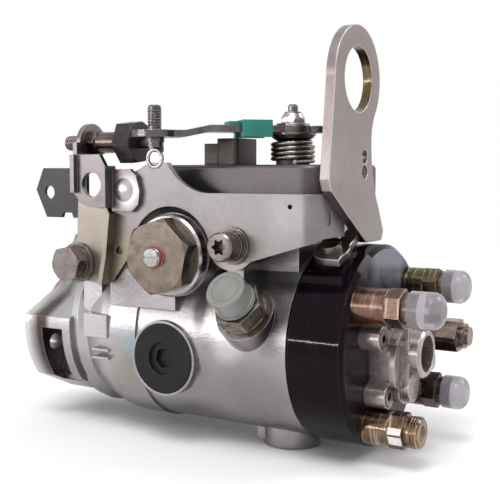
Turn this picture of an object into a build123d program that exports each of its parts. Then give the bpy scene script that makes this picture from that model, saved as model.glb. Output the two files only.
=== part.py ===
from build123d import *
import math
import os

# Rotary diesel injection pump with a mechanical governor, in millimetres.
# The origin is the centre of the drive flange's mounting face. +X runs along the pump axis
# towards the fuel outlets, +Z is up, and -Y is the side with the brackets and adjusters.

# ---- fits ----
running = 0.05          # radial clearance of a turning or sliding fit
seat = 0.03             # radial clearance of a piece pressed into its bore
clear = 0.3             # gap between pieces that only come close

# ---- drive end ----
flange_thick = 12.0
flange_radius = 46.0    # outside of the three ears
flange_waist = 27.0     # flats between the ears, measured at their root
flange_full = 41.0      # the same on the lower side, where a web joins the flange to the casting
flange_ears = (195.0, 75.0, 315.0)
ear_half_angle = 22.0
bolt_circle = 37.0
bolt_hole = 4.4
pilot_radius = 23.0
pilot_height = 8.0
neck_radius = 31.0
neck_end = 30.0

# ---- main casting ----
barrel_radius = 46.5
drive_shell_radius = 47.5
shell_step = 75.0       # where the thicker drive end stops
barrel_end = 158.0      # face that the hydraulic head seats on
seal_bore = 18.0
seal_depth = 6.0
journal_radius = 16.0
journal_end = 38.0
governor_chamber = 40.0
chamber_end = 82.0
cam_chamber = 33.0
cam_chamber_end = 112.0

# ---- governor housing on top of the barrel ----
top_start = 66.0
top_end = 156.0
top_half_width = 30.0
top_floor = 54.0
top_face = 62.0
cover_start = 64.0
cover_end = 170.0
cover_half_width = 34.0
cover_top = 84.5
cover_wall = 4.0

# ---- advance unit across the barrel ----
advance_x = 97.0
advance_z = 42.0
advance_bore = 7.0
advance_travel = 4.0
piston_floor = 10.0     # floor of the piston's spring pocket
cap_across = 32.0
cap_thick = 9.0
collar_radius = 19.5
boss_face = 45.0        # distance of the machined boss faces from the pump axis

# ---- side openings and pads ----
timing_x = 92.0
timing_z = -8.0
timing_boss_radius = 18.2
timing_plug_radius = 17.0
union_x = 137.0
union_y = -45.1         # where the leak-off union's axis meets the casting
union_z = 16.4
union_angle = 38.0      # of its axis above the horizontal
union_pad_radius = 14.0
union_face = 1.5        # height of its spot face
union_hexagon = 21.0
union_washer = 11.2
union_spigot = 6.2
foot_x = 140.0
foot_y = -6.0
foot_radius = 14.0
foot_bottom = 51.5

# ---- hydraulic head ----
head_radius = 47.4
head_end = 186.0
spigot_radius = 33.0
rotor_radius = 8.0
outlet_circle = 38.6
outlet_angles = (143.5, 42.5, 318.5, 241.0)
outlet_longer = (3.0, -2.0, -2.0, 0.0)
outlet_body = 8.2
outlet_across = 15.0
outlet_length = 26.0
outlet_end = 7.0        # radius of the thread for the pipe's union nut
outlet_thread = 6.0
plug_circle = 38.0
plug_angle = 1.2

# ---- end plate ----
plate_thick = 10.0
plate_ears = (163.0, 226.0, 346.0, 28.0)
plate_ear_circle = 27.0
plate_ear_radius = 5.6
plate_screw_depth = 4.6  # counterbores of its screws
port_boss_radius = 11.3
port_z = -2.0
port_radius = 8.5
port_end = 207.0
pump_bore = 16.0        # chamber of the vane feed pump in the head's end face
pump_depth = 8.0

# ---- governor ----
shaft_radius = 9.0
cage_x = 40.4
cage_thick = 4.0
cage_radius = 36.0
weight_x = 47.5
weight_half_width = 10.0
weight_pivot = 33.0
weight_lug = 2.8
weight_pin = 1.5
sleeve_x = 67.0
sleeve_travel = 2.5
arm_pivot_x = 79.0
arm_pivot_z = 47.0
arm_pivot_radius = 2.0
arm_half_width = 12.0   # of the governor arm's hub
cam_x = 89.0
cam_width = 17.0
cam_outer = 31.5
cam_inner = 23.0
cam_lobe = 21.4
roller_radius = 3.5
plunger_radius = 3.0
valve_x = 146.0
valve_radius = 4.0
valve_arm_z = 62.0      # underside of the metering valve's lever
valve_pin_y = 9.0
valve_pin_radius = 1.2
link_z = 70.0
link_radius = 1.1
link_play = 0.2         # round the metering valve's pin
spring_y = -10.0
spring_z = 72.0

# ---- throttle linkage ----
throttle_x = 143.0
throttle_y = -12.0
throttle_radius = 4.0
inner_lever = 17.0      # reach of the shaft's lever inside the cover
shaft_above = 10.3      # how far the throttle shaft stands out of its lever
lever_z = 99.5          # underside of the lever
lever_thick = 3.2
lever_half_width = 7.0
clip_under = 2.2        # how far the clip reaches below the lever
lever_drop = 2.5        # the outer end lies this much lower
stud_x = 96.0
stud_y = -58.0
stud_radius = 3.0
stud_shoulder = 3.6     # where it passes through the lever
stud_reach = 11.0

# ---- brackets ----
sheet = 3.0
side_plate_y = 45.0     # inner face of the side bracket, on the boss faces
bolt_x = 43.0
bolt_z = 36.0
screw_x = 132.0
screw_z = 48.0
stop_y = -44.0
stop_z = 95.5
stop_tab_x = 86.0       # the tab of the lever that meets the stop screw
stop_lug_x = 44.5      # face of the stop bracket's round lug
eye_x = 174.1
eye_thick = 4.5
eye_centre_y = -16.1
eye_centre_z = 122.7
eye_hole = 14.7
eye_outer = 24.0
eye_small_y = -8.5
eye_small_z = 88.0
eye_small_hole = 3.2
foot_tab_x = 169.0
foot_tilt = 26.5        # the foot lies on the head's shoulder, this far round from the top


def polar(radius, angle):
    return radius * math.cos(math.radians(angle)), radius * math.sin(math.radians(angle))


def rod_x(radius, low, high, y=0.0, z=0.0):
    place = Plane(origin=(low, y, z), x_dir=(0, 1, 0), z_dir=(1, 0, 0))
    return place * Cylinder(radius, high - low, align=(Align.CENTER, Align.CENTER, Align.MIN))


def rod_y(radius, low, high, x=0.0, z=0.0):
    place = Plane(origin=(x, low, z), x_dir=(0, 0, 1), z_dir=(0, 1, 0))
    return place * Cylinder(radius, high - low, align=(Align.CENTER, Align.CENTER, Align.MIN))


def rod_z(radius, low, high, x=0.0, y=0.0):
    return Pos(x, y, low) * Cylinder(radius, high - low, align=(Align.CENTER, Align.CENTER, Align.MIN))


def block(x_low, x_high, y_low, y_high, z_low, z_high):
    middle = ((x_low + x_high) / 2, (y_low + y_high) / 2, (z_low + z_high) / 2)
    return Pos(*middle) * Box(x_high - x_low, y_high - y_low, z_high - z_low)


def hexagon_x(across, low, high, y=0.0, z=0.0, turn=0.0):
    place = Plane(origin=(low, y, z), x_dir=(0, 1, 0), z_dir=(1, 0, 0))
    return extrude(place * Rot(0, 0, turn) * RegularPolygon(across / 2, 6, major_radius=False), high - low)


def hexagon_front(across, depth_low, depth_high, x, z, turn=0.0):
    # a hexagonal prism on the -Y side, between two distances from the pump axis
    place = Plane(origin=(x, -depth_low, z), x_dir=(1, 0, 0), z_dir=(0, -1, 0))
    return extrude(place * Rot(0, 0, turn) * RegularPolygon(across / 2, 6, major_radius=False), depth_high - depth_low)


def turned(points):
    # a solid of revolution about the pump axis from (x, radius) corners
    outline = Plane.XY * make_face(Polyline(*points, close=True))
    return revolve(outline, Axis.X)


def plate_front(points, depth_low, depth_high):
    # a flat plate on the -Y side from (x, z) corners, between two distances from the pump axis
    place = Plane(origin=(0, -depth_low, 0), x_dir=(1, 0, 0), z_dir=(0, -1, 0))
    return extrude(place * make_face(Polyline(*points, close=True)), depth_high - depth_low)


def cover_screw_places():
    across = cover_half_width - 8
    return [(x, y) for x in (cover_start + 10, top_end - 8) for y in (-across, across)]


def flange_outline():
    edges = []
    for angle in flange_ears:
        start = polar(flange_radius, angle - ear_half_angle)
        middle = polar(flange_radius, angle)
        finish = polar(flange_radius, angle + ear_half_angle)
        waist_before = polar(flange_full if angle == flange_ears[2] else flange_waist, angle - 60)
        waist_after = polar(flange_full if angle == flange_ears[0] else flange_waist, angle + 60)
        edges.append(Line(waist_before, start))
        edges.append(ThreePointArc(start, middle, finish))
        edges.append(Line(finish, waist_after))
    return make_face(edges)


def make_flange():
    place = Plane(origin=(0, 0, 0), x_dir=(0, 1, 0), z_dir=(1, 0, 0))
    plate = extrude(place * flange_outline(), flange_thick)
    roots = plate.edges().filter_by(Axis.X)
    plate = fillet(roots, 5.0)
    plate = chamfer(plate.edges().filter_by(GeomType.CIRCLE).group_by(SortBy.LENGTH)[-1], 0.8)
    return plate


def union_place(distance):
    # a plane square to the leak-off union's axis, at a distance outside the casting
    out = Vector(0, -math.cos(math.radians(union_angle)), math.sin(math.radians(union_angle)))
    return Plane(origin=Vector(union_x, union_y, union_z) + out * distance, x_dir=(1, 0, 0), z_dir=out)


def make_housing():
    shell = turned((
        (-pilot_height, 0),
        (-pilot_height, pilot_radius - 1.0),
        (-pilot_height + 1.0, pilot_radius),
        (0, pilot_radius),
        (flange_thick, neck_radius - 6),
        (flange_thick, neck_radius),
        (neck_end - 6, neck_radius),
        (neck_end, neck_radius + 6),
        (neck_end, drive_shell_radius - 4),
        (neck_end + 5, drive_shell_radius - 3),
        (neck_end + 9, drive_shell_radius - 6),
        (neck_end + 22, drive_shell_radius - 1),
        (neck_end + 28, drive_shell_radius),
        (shell_step, drive_shell_radius),
        (shell_step, barrel_radius),
        (barrel_end, barrel_radius),
        (barrel_end, 0),
    ))
    body = shell + make_flange()
    # the casting keeps the flange's outline up to the barrel, with a pocket behind each ear
    place = Plane(origin=(0, 0, 0), x_dir=(0, 1, 0), z_dir=(1, 0, 0))
    body += extrude(place * flange_outline(), neck_end + 1)
    pocket_end = neck_end - 4
    side_pocket = Polyline((-50, -2.3), (-28, 8.9), (-28, -31), (-50, -31), close=True)
    body -= Pos(flange_thick, 0, 0) * extrude(place * make_face(side_pocket), pocket_end - flange_thick)
    for angle in flange_ears[1:]:
        body -= Rot(angle, 0, 0) * block(flange_thick, pocket_end, 28, 50, -10, 10)
    # web that carries the lower side of the flange into the casting
    web = turned(((flange_thick - 1, 20), (flange_thick - 1, 39), (neck_end + 1, 43), (neck_end + 1, 20)))
    body += web & (Rot(-15, 0, 0) * block(0, neck_end + 2, -23, 23, -50, -15))
    # governor housing on top
    body += block(top_start, top_end, -top_half_width, top_half_width, 20, top_face)
    # machined bosses of the -Y side
    body += rod_y(collar_radius + 0.5, -boss_face, boss_face - 6, advance_x, advance_z)
    body += rod_y(9.5, -side_plate_y, -14, bolt_x, bolt_z)
    body += block(bolt_x - 6, bolt_x + 6, -side_plate_y + 4, -14, 10, bolt_z)
    body += rod_y(9.5, -side_plate_y, -top_half_width + 5, screw_x, screw_z)
    body += block(screw_x - 7, screw_x + 2, -side_plate_y + 3, -top_half_width + 5, 28, screw_z)
    body += rod_y(timing_boss_radius, -drive_shell_radius - 0.6, -30, timing_x, timing_z)
    plate_pad = ((58.5, 15.3), (98, 15.3), (98, 34), (68, 34), (62.5, 27.6), (58.5, 27.6))
    body += plate_front(plate_pad, 30, boss_face + 0.8)
    # a lump and two short ribs of the casting
    body += block(43, 58, -drive_shell_radius - 1.0, -40, -1.5, 10)
    for z in (-12.4, -8.3):
        body += block(48, 58.5, -drive_shell_radius - 0.7, -40, z, z + 1.1)
    body -= rod_y(collar_radius + clear, -boss_face - 3, -boss_face, advance_x, advance_z)
    body += extrude(union_place(-16.5) * Circle(union_pad_radius), 16.5 + union_face)
    body += rod_z(foot_radius, -foot_bottom, -30, foot_x, foot_y)
    body += block(foot_x - 14, foot_x, foot_y - 10, foot_y + 10, -foot_bottom + 2, -30)
    # bores and chambers
    body -= rod_x(seal_bore, -pilot_height - 1, -pilot_height + seal_depth + 1)
    body -= rod_x(journal_radius, -pilot_height, journal_end + 1)
    body -= rod_x(governor_chamber, journal_end, chamber_end)
    body -= rod_x(cam_chamber, chamber_end - 1, barrel_end + 1)
    # governor housing's chamber, the arm's way down to the sleeve, and the valve's way to the head
    body -= block(top_start + 5, top_end - 5, -top_half_width + 8, top_half_width - 8, top_floor, top_face + 1)
    for x, y in cover_screw_places():
        body -= rod_z(2.5, top_face - 10, top_face + 1, x, y)
    body -= block(73, 87.5, -18, 18, 10, top_floor + 1)
    body -= rod_z(valve_radius + 2.5, spigot_radius - 8, top_floor + 1, valve_x, 0)
    # advance piston's bore, with the slot for the cam ring's pin
    body -= rod_y(advance_bore, -boss_face - 1, boss_face - 10, advance_x, advance_z)
    body -= block(advance_x - 3.2, advance_x + 3.2, -9, 9, cam_chamber - 3, advance_z - 2)
    # timing window with its plug seat
    body -= rod_y(timing_plug_radius + seat, -drive_shell_radius - 2, -drive_shell_radius + 4.5, timing_x, timing_z)
    body -= rod_y(timing_plug_radius - 5, -drive_shell_radius, -25, timing_x, timing_z)
    # spot face and bore of the leak-off union
    body -= extrude(union_place(union_face) * Circle(union_washer + clear), 12)
    body -= extrude(union_place(-18.5) * Circle(4.0), 30)
    # mounting holes and threaded holes
    for angle in flange_ears:
        y, z = polar(bolt_circle, angle)
        body -= rod_x(bolt_hole, -1, flange_thick + 1, y, z)
    body -= rod_y(5.0, -side_plate_y - 1, -side_plate_y + 20, bolt_x, bolt_z)
    body -= rod_y(4.0, -side_plate_y - 1, -side_plate_y + 14, screw_x, screw_z)
    return body


def make_hydraulic_head():
    head = turned((
        (cam_chamber_end, rotor_radius + running),
        (cam_chamber_end, spigot_radius - running),
        (barrel_end, spigot_radius - running),
        (barrel_end, head_radius - 1.5),
        (barrel_end + 1.5, head_radius),
        (head_end - 2.0, head_radius),
        (head_end, head_radius - 2.0),
        (head_end, rotor_radius + running),
    ))
    head += Rot(foot_tilt, 0, 0) * rod_z(9.0, head_radius - 8, head_radius + 0.5, foot_tab_x)
    head -= rod_x(pump_bore, head_end - pump_depth, head_end + 1)
    threaded = [polar(outlet_circle, angle) for angle in outlet_angles]
    for y, z in threaded + [polar(plug_circle, plug_angle)]:
        head -= rod_x(outlet_thread + seat, head_end - 14, head_end + 1, y, z)
    for angle in plate_ears:
        y, z = polar(plate_ear_circle, angle)
        head -= rod_x(2.5, head_end - 12, head_end + 1, y, z)
    head -= rod_z(valve_radius + running, rotor_radius + 3, spigot_radius + 1, valve_x, 0)
    head -= Rot(foot_tilt, 0, 0) * rod_z(2.5, head_radius - 12, head_radius + 1, foot_tab_x)
    return head


def make_outlet(angle, longer):
    # a delivery valve holder: threaded stem, round body, hexagon, neck and cone seat for the pipe
    y, z = polar(outlet_circle, angle)
    face = head_end
    shoulder = head_end + 12 + longer
    tip = head_end + outlet_length + longer
    holder = rod_x(outlet_thread, face - 12, face, y, z)
    holder += rod_x(outlet_body, face, shoulder, y, z)
    holder += hexagon_x(outlet_across, shoulder, shoulder + 7, y, z, angle)
    holder += rod_x(outlet_end - 0.7, shoulder + 7, shoulder + 8.5, y, z)
    holder += rod_x(outlet_end, shoulder + 8.5, tip, y, z)
    holder = chamfer(holder.faces().sort_by(Axis.X)[-1].edges(), 0.8)
    holder -= rod_x(1.5, face - 13, tip + 1, y, z)
    cone = Cone(1.5, 3.5, 4.0, align=(Align.CENTER, Align.CENTER, Align.MIN))
    place = Plane(origin=(tip - 3.8, y, z), x_dir=(0, 1, 0), z_dir=(1, 0, 0))
    holder -= place * cone
    return holder


def make_outlet_caps():
    # soft transport caps on three of the outlets, each with a domed end
    caps = []
    for angle, longer, past in zip(outlet_angles, outlet_longer, (10.0, 7.0, 7.0)):
        y, z = polar(outlet_circle, angle)
        tip = head_end + outlet_length + longer
        cap = fillet(rod_x(outlet_end + 1.0, tip - 4.2, tip + past, y, z).faces().sort_by(Axis.X)[-1].edges(), 4.5)
        cap -= rod_x(outlet_end + seat, tip - 5, tip + 0.4, y, z)
        caps.append(cap)
    return Compound(children=caps)


def make_end_plate():
    place = Plane(origin=(head_end, 0, 0), x_dir=(0, 1, 0), z_dir=(1, 0, 0))
    outline = Circle(19.5) + Pos(0, -6) * Circle(19)
    for angle in plate_ears:
        y, z = polar(plate_ear_circle, angle)
        outline += Pos(y, z) * Circle(plate_ear_radius)
        outline += Pos(y / 2, z / 2) * Rot(0, 0, angle) * Rectangle(plate_ear_circle, 2 * plate_ear_radius - 2)
    plate = extrude(place * outline, plate_thick)
    front = head_end + plate_thick
    plate += rod_x(18.5, front, front + 3, -2, -7)
    plate += block(front, front + 6, -11, 12, -14, 11)
    plate += rod_x(7.0, front, front + 6.5, -5, -17)
    plate += rod_x(4.0, front, front + 9, 13, -8)
    plate += rod_x(port_boss_radius, front, port_end, 0, port_z)
    plate = chamfer(plate.faces().sort_by(Axis.X)[-1].edges(), 1.0)
    for angle in plate_ears:
        y, z = polar(16, angle)
        rib = place * Pos(y, z) * Rot(0, 0, angle) * Rectangle(9, 2.4)
        plate += extrude(rib, plate_thick + 4)
    plate -= rod_x(port_radius, front - 1, port_end + 1, 0, port_z)
    plate -= rod_x(valve_radius + running, head_end + 2.5, front + 1)
    for angle in plate_ears:
        y, z = polar(plate_ear_circle, angle)
        plate -= rod_x(2.7, head_end - 1, front + 1, y, z)
        plate -= rod_x(4.6, front - plate_screw_depth, front + 5, y, z)
    return plate


def make_end_plug():
    # a stepped hexagonal pressure plug in the head's end face
    y, z = polar(plug_circle, plug_angle)
    plug = rod_x(outlet_thread, head_end - 10, head_end, y, z)
    plug += rod_x(7.5, head_end, head_end + 10, y, z)
    plug += hexagon_x(15.0, head_end + 10, head_end + 24, y, z, plug_angle)
    plug += rod_x(6.2, head_end + 24, head_end + 27, y, z)
    plug += rod_x(4.6, head_end + 27, head_end + 29, y, z)
    return plug


def socket_screw(direction, low, length, y_or_x, z_or_y, radius):
    # a cap screw whose head ends at low + length, along X or Z
    rod = rod_x if direction == "X" else rod_z
    head_low = low + length - radius * 2
    screw = rod(radius, low, head_low, y_or_x, z_or_y)
    screw += rod(radius * 1.75, head_low, low + length, y_or_x, z_or_y)
    screw -= rod(radius * 0.8, low + length - radius, low + length + 1, y_or_x, z_or_y)
    return screw


def make_case_screws():
    screws = []
    for angle in plate_ears:
        y, z = polar(plate_ear_circle, angle)
        length = 10 + plate_thick - plate_screw_depth + 4.9
        screws.append(socket_screw("X", head_end - 10, length, y, z, 2.45))
    for x, y in cover_screw_places():
        screws.append(socket_screw("Z", top_face - 8, cover_top - top_face + 8, x, y, 2.45))
    screws.append(make_eye_screw())
    return Compound(children=screws)


def make_transfer_liner():
    low = head_end - pump_depth + 0.1
    liner = rod_x(pump_bore - seat, low, head_end - 0.1)
    liner -= rod_x(12.0, low - 1, head_end + 1, 1.4, 0)
    return liner


def make_transfer_rotor():
    # slotted rotor of the feed pump with its four sliding blades
    low = head_end - pump_depth + 0.2
    rotor = rod_x(10.2, low, head_end - 0.2)
    rotor -= block(low - 1, head_end + 1, -12, 12, -0.85, 0.85)
    rotor -= block(low - 1, head_end + 1, -0.85, 0.85, -12, 12)
    rotor += rod_x(4.0, low, head_end - 0.2)
    pieces = [rotor]
    for turn in range(4):
        blade = block(low, head_end - 0.2, 4.1, 10.4, -0.8, 0.8)
        pieces.append(Rot(90 * turn, 0, 0) * blade)
    return Compound(children=pieces)


def make_timing_plug():
    front = drive_shell_radius + 0.9
    back = drive_shell_radius - 4.5
    plug = rod_y(timing_plug_radius, -front, -back, timing_x, timing_z)
    rim = plug.edges().filter_by(GeomType.CIRCLE).sort_by(Axis.Y)[0]
    plug = fillet(rim, 0.8)
    plug -= rod_y(8.0, -front - 1, -front + 1.6, timing_x, timing_z)
    plug -= hexagon_front(9.0, front - 3.8, front + 1, timing_x, timing_z, 15)
    return plug


def make_leak_off_union():
    union = extrude(union_place(-10.5) * Circle(3.95), 10.5 + union_face)
    union += extrude(union_place(union_face) * Circle(union_washer), 1.5)
    union += extrude(union_place(union_face + 1.5) * RegularPolygon(union_hexagon / 2, 6, major_radius=False), 8)
    union += extrude(union_place(union_face + 9.5) * Circle(union_spigot), 9)
    union -= extrude(union_place(-12) * Circle(2.0), 40)
    return union


def make_leak_off_cap():
    low = union_face + 9.8
    cap = extrude(union_place(low) * Circle(9.2), 11.5)
    cap = fillet(cap.faces().sort_by(Axis.Y)[0].edges(), 0.9)
    cap -= extrude(union_place(low - 1) * Circle(union_spigot + seat), 10.4)
    return cap


def make_advance_collar():
    collar = rod_y(collar_radius, -boss_face - 6, -boss_face, advance_x, advance_z)
    collar = chamfer(collar.faces().sort_by(Axis.Y)[0].edges(), 1.0)
    collar -= rod_y(advance_bore, -boss_face - 7, -boss_face + 1, advance_x, advance_z)
    return collar


def make_advance_cap():
    low = boss_face + 6
    cap = hexagon_front(cap_across, low, low + cap_thick, advance_x, advance_z, 18)
    corner_cone = Plane(origin=(advance_x, -low, advance_z), x_dir=(1, 0, 0), z_dir=(0, -1, 0))
    crown = Cone(cap_across / 2 + 12, cap_across / 2 - 1.5, cap_thick + 1.5, align=(Align.CENTER, Align.CENTER, Align.MIN))
    cap &= corner_cone * crown
    cap += rod_y(advance_bore - seat, -low, -boss_face + 8, advance_x, advance_z)
    cap -= rod_y(advance_bore - 2, -boss_face + 1, -boss_face + 9, advance_x, advance_z)
    cap -= rod_y(4.0 + seat, -low - cap_thick - 1, -boss_face + 2, advance_x, advance_z)
    return cap


def make_advance_adjuster():
    low = boss_face + 6 + cap_thick
    screw = rod_y(4.0, -low - 3.5, -boss_face + 1.4, advance_x, advance_z)
    screw -= block(advance_x - 5, advance_x + 5, -low - 4, -low - 2.2, advance_z - 0.6, advance_z + 0.6)
    return screw


def make_advance_piston():
    piston = rod_y(advance_bore - running, -16, 15, advance_x, advance_z)
    piston -= rod_z(3.1, advance_z - 8, advance_z + 1.5, advance_x, 0)
    piston -= rod_y(advance_bore - 2.5, -17, -piston_floor, advance_x, advance_z)
    return piston


def coil(radius, wire, height, turns, leg=0):
    # a coil spring standing on Z = 0, with a straight leg from its lower end if asked for
    path = Helix(pitch=height / turns, height=height, radius=radius)
    start = Plane(origin=path @ 0, z_dir=path % 0)
    spring = sweep(start * Circle(wire), path)
    if leg:
        spring += extrude(start * Circle(wire), -leg)
    return spring


def make_advance_spring():
    # drawn at the length it has when the piston is at the end of its stroke
    wire = 0.7
    front = boss_face - 1.4 - wire - clear
    back = piston_floor + advance_travel + wire + clear
    place = Plane(origin=(advance_x, -front, advance_z), x_dir=(1, 0, 0), z_dir=(0, 1, 0))
    return place * coil(3.4, wire, front - back, 8)


def make_cam_ring():
    place = Plane(origin=(cam_x, 0, 0), x_dir=(0, 1, 0), z_dir=(1, 0, 0))
    opening = Circle(cam_inner)
    for turn in range(4):
        y, z = polar(cam_lobe + 9, 90 * turn)
        opening -= Pos(y, z) * Circle(9)
    ring = extrude(place * (Circle(cam_outer) - opening), cam_width)
    ring += rod_z(2.2, cam_outer - 3, advance_z - 2, advance_x, 0)
    ring += Pos(advance_x, 0, advance_z - 1.5) * Sphere(3.0)
    return ring


def make_drive_shaft():
    # splined hub in the pilot, journal, and the thinner shaft that carries the governor
    shaft = turned((
        (-pilot_height + 1, 0),
        (-pilot_height + 1, 13.0),
        (-pilot_height + seal_depth + 1.3, 13.0),
        (-pilot_height + seal_depth + 1.3, journal_radius - running),
        (journal_end, journal_radius - running),
        (journal_end, 18.0),
        (cage_x - 0.1, 18.0),
        (cage_x - 0.1, shaft_radius),
        (cam_x - 2, shaft_radius),
        (cam_x - 2, 0),
    ))
    shaft += block(cam_x - 2.5, cam_x + 1.2, -2.4, 2.4, -6, 6)
    shaft -= rod_x(8.5, -pilot_height - 1, 26)
    for index in range(8):
        groove = block(-pilot_height, 22, 8, 9.5, -0.7, 0.7)
        shaft -= Rot(45 * index, 0, 0) * groove
    return shaft


def make_drive_seal():
    seal = rod_x(seal_bore - seat, -pilot_height + 0.5, -pilot_height + seal_depth + 0.9)
    seal -= rod_x(13.05, -pilot_height - 1, 2)
    groove = rod_x(16.6, -pilot_height, -pilot_height + 2)
    groove -= rod_x(14.4, -pilot_height - 1, 3)
    return seal - groove


def make_weight_cage():
    cage = rod_x(cage_radius, cage_x, cage_x + cage_thick)
    outer = weight_half_width + 3
    for turn in range(4):
        cage += Rot(45 + 90 * turn, 0, 0) * block(cage_x, cage_x + 20, 24, 35, -3, 3)
        # two cheeks and the pin on which a weight swings
        for side in (-1, 1):
            near = side * (weight_half_width + clear)
            far = side * outer
            cheek = block(cage_x + 1, weight_x + 3, weight_pivot - 3, weight_pivot + 3, min(near, far), max(near, far))
            cage += Rot(90 * turn, 0, 0) * cheek
        cage += Rot(90 * turn, 0, 0) * rod_z(weight_pin, -outer, outer, weight_x, weight_pivot)
    cage -= rod_x(shaft_radius + seat, cage_x - 1, cage_x + 30)
    return cage


def make_weight(turn):
    # a bell-crank weight: the heavy outer part swings out and its toe pushes the sleeve
    toe = sleeve_x - 0.4
    profile = Polyline(
        (weight_x, weight_pivot + weight_lug),
        (weight_x + 11, weight_pivot + 1),
        (weight_x + 14.5, weight_pivot - 8),
        (toe, 15),
        (toe, 11.6),
        (toe - 3.6, 11.6),
        (weight_x + 7, 19.5),
        (weight_x - 1, 22),
        (weight_x - weight_lug, weight_pivot),
        close=True,
    )
    weight = extrude(Plane.XY * make_face(profile), weight_half_width, both=True)
    weight += rod_z(weight_lug, -weight_half_width, weight_half_width, weight_x, weight_pivot)
    weight -= rod_z(weight_pin + running, -weight_half_width - 1, weight_half_width + 1, weight_x, weight_pivot)
    return Rot(90 * turn, 0, 0) * weight


def make_thrust_sleeve():
    sleeve = rod_x(12.0, sleeve_x, sleeve_x + 13)
    sleeve += rod_x(16.0, sleeve_x, sleeve_x + 2.5)
    sleeve += rod_x(15.0, sleeve_x + 10, sleeve_x + 13)
    sleeve -= rod_x(shaft_radius + running, sleeve_x - 1, sleeve_x + 14)
    return sleeve


def make_governor_arm():
    back = sleeve_x + 13.8
    arm = rod_y(4.2, -arm_half_width, arm_half_width, arm_pivot_x, arm_pivot_z)
    arm += block(back, back + 2.6, -14, 14, arm_pivot_z - 9, arm_pivot_z + 3)
    for side in (-1, 1):
        arm += block(back, back + 2.6, min(side * 10.5, side * 14), max(side * 10.5, side * 14), -3, arm_pivot_z - 8)
    arm += block(arm_pivot_x - 1.3, arm_pivot_x + 1.3, spring_y - 3, valve_pin_y + 3, arm_pivot_z, 76)
    arm -= rod_y(arm_pivot_radius + running, -15, 15, arm_pivot_x, arm_pivot_z)
    arm -= rod_x(link_radius + clear, arm_pivot_x - 5, arm_pivot_x + 5, valve_pin_y, link_z)
    arm -= rod_x(1.15, arm_pivot_x - 5, arm_pivot_x + 5, spring_y, spring_z)
    return arm


def make_control_bracket():
    reach = top_half_width - 9
    bracket = block(88, 112, 1 - reach, reach - 1, top_floor, top_floor + 2)
    for side in (-1, 1):
        near = side * (arm_half_width + 2.9)
        far = side * reach
        leg = side * (arm_half_width + 5.4)
        bracket += block(74, 90, min(near, far), max(near, far), top_floor, top_floor + 2)
        bracket += block(74, 84, min(near, leg), max(near, leg), arm_pivot_z - 4, top_floor + 1)
    bracket += rod_y(arm_pivot_radius, -arm_half_width - 4, arm_half_width + 4, arm_pivot_x, arm_pivot_z)
    return bracket


def make_governor_link():
    # a wire link: headed in the governor arm, and ending in an eye round the metering valve's pin
    eye_radius = valve_pin_radius + link_play + 2 * link_radius
    eye_low = valve_arm_z + 2.5
    link = rod_x(link_radius, arm_pivot_x - 4.5, valve_x - eye_radius + 0.4, valve_pin_y, link_z)
    link += rod_x(link_radius + 1.2, arm_pivot_x - 5.5, arm_pivot_x - 3.5, valve_pin_y, link_z)
    link += rod_z(link_radius, eye_low, link_z, valve_x - eye_radius + 0.4, valve_pin_y)
    link += rod_z(eye_radius, eye_low, eye_low + 2 * link_radius, valve_x, valve_pin_y)
    link -= rod_z(valve_pin_radius + link_play, eye_low - 1, eye_low + 4, valve_x, valve_pin_y)
    return link


def make_governor_spring():
    # tension spring from the arm to the throttle shaft's inner lever, with a straight eye wire at each end
    wire = 0.7
    radius = 3.2
    low = arm_pivot_x + 3.5
    high = low + 36
    place = Plane(origin=(low, spring_y, spring_z), x_dir=(0, 1, 0), z_dir=(1, 0, 0))
    spring = place * coil(radius, wire, high - low, 9)
    for end in (low, high):
        spring += block(end - wire, end + wire, spring_y - wire, spring_y + radius + 0.3, spring_z - wire, spring_z + wire)
    spring += rod_x(wire, arm_pivot_x - 2.5, low, spring_y, spring_z)
    spring += rod_x(1.6, arm_pivot_x - 3.2, arm_pivot_x - 1.6, spring_y, spring_z)
    spring += rod_x(wire, high, throttle_x - inner_lever - clear, spring_y, spring_z)
    return spring


def make_metering_valve():
    valve = rod_z(valve_radius, 12, valve_arm_z, valve_x, 0)
    valve += block(valve_x - 3, valve_x + 3, -3.5, valve_pin_y + 2.5, valve_arm_z, valve_arm_z + 2)
    valve += rod_z(valve_pin_radius, valve_arm_z + 2, valve_arm_z + 5.5, valve_x, valve_pin_y)
    valve -= rod_z(1.5, 11, 24, valve_x, 0)
    return valve


def make_governor_cover():
    cover = block(cover_start, cover_end, -cover_half_width, cover_half_width, top_face, cover_top)
    cover = fillet(cover.edges().filter_by(Axis.Z), 12.0)
    cover = fillet(cover.faces().sort_by(Axis.Z)[-1].edges(), 2.0)
    cover -= block(cover_start + 5, top_end - 5, -cover_half_width + 6, cover_half_width - 6, 50, cover_top - cover_wall)
    for x, y in cover_screw_places():
        cover += rod_z(5.5, top_face, cover_top - 1, x, y)
        cover -= rod_z(2.6, top_face - 1, cover_top + 1, x, y)
        cover -= rod_z(4.6, cover_top - 5.2, cover_top + 1, x, y)
    cover += rod_z(8.0, cover_top - cover_wall - 3, cover_top + 3, throttle_x, throttle_y)
    cover -= rod_z(throttle_radius + running, 50, cover_top + 4, throttle_x, throttle_y)
    return cover


def make_cover_block():
    top = lever_z - clip_under - clear
    body = block(111, 122.6, -30, -10, cover_top, top)
    body = fillet(body.edges().filter_by(Axis.Z), 2.0)
    body += block(104.6, 112, -30, -18, cover_top, top - 2.4)
    return body


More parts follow.
